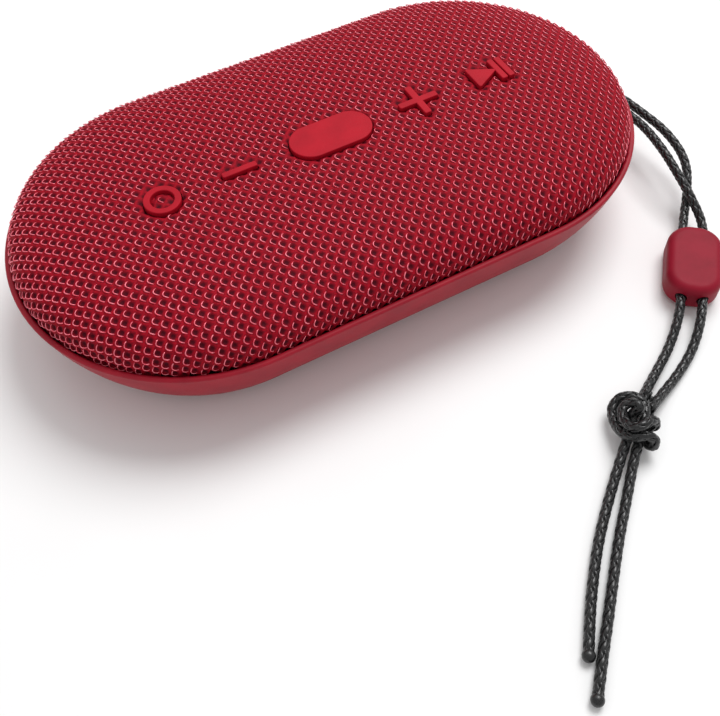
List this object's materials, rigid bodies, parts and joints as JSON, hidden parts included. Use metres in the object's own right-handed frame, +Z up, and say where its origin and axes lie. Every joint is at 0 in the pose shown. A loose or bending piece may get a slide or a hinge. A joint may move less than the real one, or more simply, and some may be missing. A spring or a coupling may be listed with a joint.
{
  "type": "portable speaker",
  "caption": "Flat racetrack-shaped wireless speaker with a domed fabric top, raised buttons in a row and a knotted wrist lanyard with a bead.",
  "frame": {"origin": "on the standing surface, under the middle of the racetrack-shaped housing", "axes": "+X along the housing's length towards the lanyard, +Y across it towards the sockets, +Z up through the fabric top"},
  "size_m": [0.1761, 0.1821, 0.0346],
  "materials": {
    "red_shell": "satin soft-touch moulded plastic",
    "red_fabric": "coarse woven polyester mesh with a metallic yarn glint",
    "red_silicone": "matt moulded silicone",
    "black_plastic": "plain moulded ABS",
    "black_rubber": "matt rubber",
    "black_foam": "closed-cell foam",
    "steel": "zinc-plated steel",
    "stainless": "polished stainless steel",
    "green_board": "glass-epoxy board with solder mask",
    "switch_black": "moulded switch body",
    "switch_plunger": "white nylon",
    "flex_orange": "polyimide ribbon",
    "led_lens": "clear epoxy",
    "magnet": "nickel-plated neodymium",
    "paper_cone": "pressed paper",
    "coil_copper": "enamelled copper winding",
    "spider_cloth": "resin-dipped cotton",
    "chip": "epoxy package",
    "shield_can": "tinned steel can",
    "battery_wrap": "aluminised pouch",
    "lead_insulation": "PVC insulation",
    "waxed_cord": "waxed polyester braid"
  },
  "bodies": {
    "speaker": {"base_shell": "red_shell", "foot_ring": "black_rubber", "fabric_cover": "red_fabric", "grille_frame": "black_plastic", "lanyard_pin": "stainless", "baffle": "black_plastic", "baffle_seal": "black_foam", "button_board": "green_board", "tact_switch_bodies": "switch_black", "button_flex": "flex_orange", "status_led": "led_lens", "driver_magnets": "magnet", "driver_top_plates": "steel", "radiator_surround": "black_rubber", "main_board": "green_board", "bluetooth_module": "shield_can", "amplifier_chip": "chip", "usb_port": "shield_can", "aux_jack": "black_plastic", "battery_cell": "battery_wrap", "battery_leads": "lead_insulation", "speaker_leads": "lead_insulation", "case_screws": "steel", "baffle_screws": "steel", "driver_screws": "steel", "button_board_screws": "steel", "main_board_screws": "steel", "lanyard_strand_a": "waxed_cord", "lanyard_strand_b": "waxed_cord", "lanyard_tail_a": "waxed_cord", "lanyard_tail_b": "waxed_cord", "lanyard_knot": "waxed_cord", "left_basket": "black_plastic", "left_yoke": "steel", "left_surround": "black_rubber", "left_spider": "spider_cloth", "right_basket": "black_plastic", "right_yoke": "steel", "right_surround": "black_rubber", "right_spider": "spider_cloth"},
    "power_key": {"power_button": "red_silicone", "power_plunger": "switch_plunger", "power_fabric_disc": "red_fabric"},
    "volume_down_key": {"volume_down_button": "red_silicone", "volume_down_plunger": "switch_plunger"},
    "center_key": {"center_button": "red_silicone", "center_plunger": "switch_plunger"},
    "volume_up_key": {"volume_up_button": "red_silicone", "volume_up_plunger": "switch_plunger"},
    "play_pause_key": {"play_pause_button": "red_silicone", "play_pause_plunger": "switch_plunger"},
    "left_driver_cone": {"left_cone": "paper_cone", "left_dust_cap": "paper_cone", "left_voice_coil": "coil_copper"},
    "right_driver_cone": {"right_cone": "paper_cone", "right_dust_cap": "paper_cone", "right_voice_coil": "coil_copper"},
    "radiator": {"radiator_plate": "steel"},
    "port_flap": {"port_cover": "red_silicone"},
    "bead": {"lanyard_bead": "red_silicone"}
  },
  "joints": [
    {"name": "power_press", "type": "slide", "parent": "speaker", "child": "power_key", "axis": [0, 0, -1], "range_m": [0, 0.00045], "stiffness_N_per_m": 1500, "springref_m": -0.0005},
    {"name": "volume_down_press", "type": "slide", "parent": "speaker", "child": "volume_down_key", "axis": [0, 0, -1], "range_m": [0, 0.00045], "stiffness_N_per_m": 1500, "springref_m": -0.0005},
    {"name": "center_press", "type": "slide", "parent": "speaker", "child": "center_key", "axis": [0, 0, -1], "range_m": [0, 0.00045], "stiffness_N_per_m": 1500, "springref_m": -0.0005},
    {"name": "volume_up_press", "type": "slide", "parent": "speaker", "child": "volume_up_key", "axis": [0, 0, -1], "range_m": [0, 0.00045], "stiffness_N_per_m": 1500, "springref_m": -0.0005},
    {"name": "play_pause_press", "type": "slide", "parent": "speaker", "child": "play_pause_key", "axis": [0, 0, -1], "range_m": [0, 0.00045], "stiffness_N_per_m": 1500, "springref_m": -0.0005},
    {"name": "left_cone_stroke", "type": "slide", "parent": "speaker", "child": "left_driver_cone", "axis": [0, 0, 1], "range_m": [-0.001, 0.001], "stiffness_N_per_m": 900, "deforming": ["left_surround", "left_spider"]},
    {"name": "right_cone_stroke", "type": "slide", "parent": "speaker", "child": "right_driver_cone", "axis": [0, 0, 1], "range_m": [-0.001, 0.001], "stiffness_N_per_m": 900, "deforming": ["right_surround", "right_spider"]},
    {"name": "radiator_stroke", "type": "slide", "parent": "speaker", "child": "radiator", "axis": [0, 0, 1], "range_m": [-0.0015, 0.0015], "stiffness_N_per_m": 700, "deforming": ["radiator_surround"]},
    {"name": "port_cover_hinge", "type": "hinge", "parent": "speaker", "child": "port_flap", "pos_m": [0, 0.03863, 0.00659], "axis": [-1, 0, 0], "range_deg": [0, 80]},
    {"name": "bead_slide", "type": "slide", "parent": "speaker", "child": "bead", "axis": [-0.6543, -0.7562, 0], "range_m": [-0.002, 0.002]}
  ]
}
